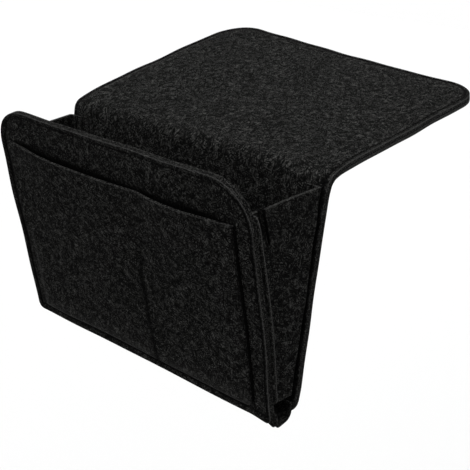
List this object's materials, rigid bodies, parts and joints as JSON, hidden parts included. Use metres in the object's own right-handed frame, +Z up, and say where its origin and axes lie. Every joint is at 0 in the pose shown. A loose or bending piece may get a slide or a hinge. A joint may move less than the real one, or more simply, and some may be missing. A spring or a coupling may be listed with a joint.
{
  "type": "bedside caddy",
  "caption": "Felt bedside caddy: a wedge-shaped pouch with front pockets and side gussets, hung from a wide flap that tucks under a mattress.",
  "frame": {"origin": "middle of the flap's underside, where the flap lies on the bed frame", "axes": "+Z up, +Y horizontally away from the pouch's back and along the flap, +X to the right of someone facing the front pockets"},
  "size_m": [0.33, 0.3317, 0.3062],
  "materials": {
    "felt": "thick matt charcoal wool-look felt with lighter grey fibres",
    "thread": "dull near-black sewing thread"
  },
  "bodies": {
    "flap": {"flap_under": "felt", "flap_top": "felt"},
    "pouch": {"front_outer": "felt", "front_inner": "felt", "front_pocket": "felt", "back_outer": "felt", "back_inner": "felt", "fold_outer": "felt", "fold_inner": "felt", "gusset_right": "felt", "gusset_left": "felt", "bottom_gusset": "felt"}
  },
  "joints": [
    {"name": "fold", "type": "hinge", "parent": "flap", "child": "pouch", "pos_m": [0, -0.1103, -0.04236], "axis": [1, 0, 0], "range_deg": [-120, 105], "stiffness_Nm_per_rad": 1.5, "springref_deg": -4.58, "deforming": ["fold_outer", "fold_inner"]}
  ]
}
